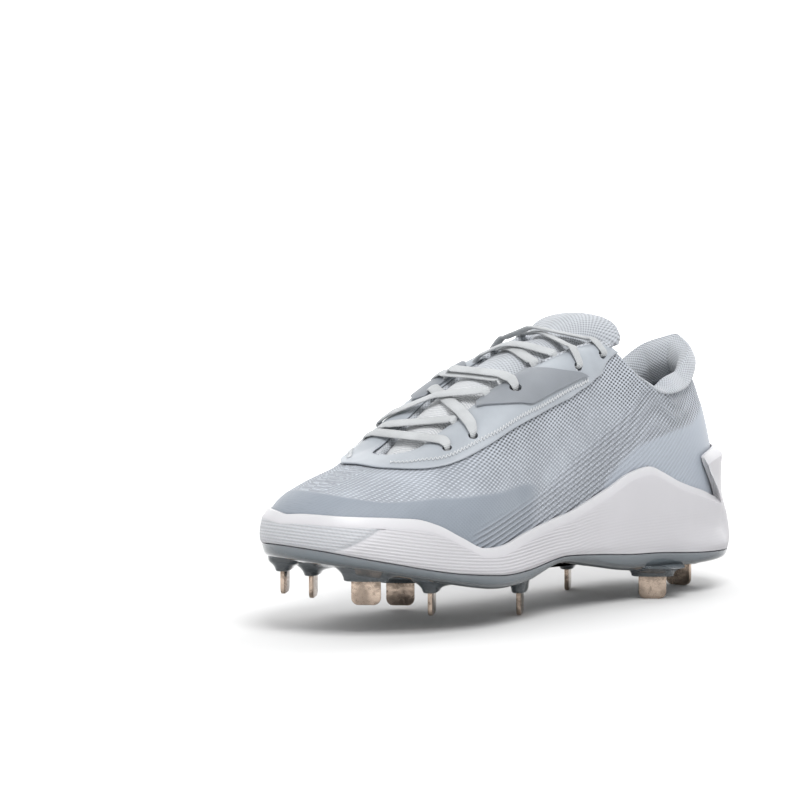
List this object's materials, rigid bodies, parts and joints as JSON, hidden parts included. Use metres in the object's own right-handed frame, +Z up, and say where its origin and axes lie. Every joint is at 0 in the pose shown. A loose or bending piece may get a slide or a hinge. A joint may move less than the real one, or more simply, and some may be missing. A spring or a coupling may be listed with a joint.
{
  "type": "baseball cleat",
  "caption": "Low-cut left baseball cleat: hollow knit upper with padded tongue and collar, foam midsole and clear moulded plate with steel spikes.",
  "frame": {"origin": "on the ground under the spikes, at the middle of the shoe's length and width", "axes": "+Y to the heel, -Y to the toe, +X to the outer side of the foot, +Z up"},
  "size_m": [0.105, 0.291, 0.1455],
  "materials": {
    "knit": "open knit",
    "lining_knit": "fine knit",
    "padded_knit": "fine padded knit",
    "footbed": "woven top",
    "film": "satin film",
    "film_strap": "satin film",
    "dark_rubber": "matte",
    "foam": "satin moulded foam",
    "resin": "clear, tinted",
    "steel": "brushed, warm tint",
    "lace_weave": "flat weave"
  },
  "bodies": {
    "root": {"upper": "knit", "collar_lining": "lining_knit", "tongue": "padded_knit", "insole": "footbed", "eyestay": "film", "strap_outer": "film_strap", "strap_inner": "film_strap", "heel_patch": "dark_rubber", "midsole": "foam", "plate": "resin", "spike_toe_inner": "steel", "spike_ball_inner": "steel", "spike_arch_inner": "steel", "spike_toe_outer": "steel", "spike_ball_outer": "steel", "spike_arch_outer": "steel", "spike_heel_inner": "steel", "spike_heel_outer": "steel", "spike_heel_back": "steel", "lace_1": "lace_weave", "lace_2": "lace_weave", "lace_3": "lace_weave", "lace_4": "lace_weave", "lace_5": "lace_weave"}
  },
  "joints": []
}
